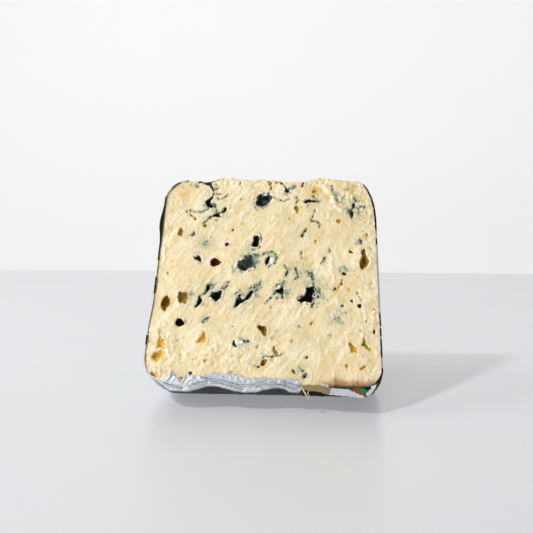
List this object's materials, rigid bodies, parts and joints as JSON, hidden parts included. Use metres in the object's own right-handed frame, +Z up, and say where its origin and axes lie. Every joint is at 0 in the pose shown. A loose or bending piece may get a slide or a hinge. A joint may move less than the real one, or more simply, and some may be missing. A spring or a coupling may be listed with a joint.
{
  "type": "blue cheese wedge",
  "caption": "Wedge of blue-veined cheese cut from a round wheel, standing on its rim in torn foil with a printed label on each flat side.",
  "frame": {"origin": "on the resting plane, straight below the middle of the wedge's top edge", "axes": "+Z up, +X along the wheel's axis to the right of the front cut, +Y from the front cut towards the back cut"},
  "size_m": [0.1011, 0.0958, 0.0952],
  "materials": {
    "cheese_paste": "soft moist paste with blue mould in its holes",
    "foil": "crumpled satin",
    "label_paper": "printed coated paper"
  },
  "bodies": {
    "root": {"cheese": "cheese_paste", "foil_wrap": "foil", "label_left": "label_paper", "label_right": "label_paper"}
  },
  "joints": []
}
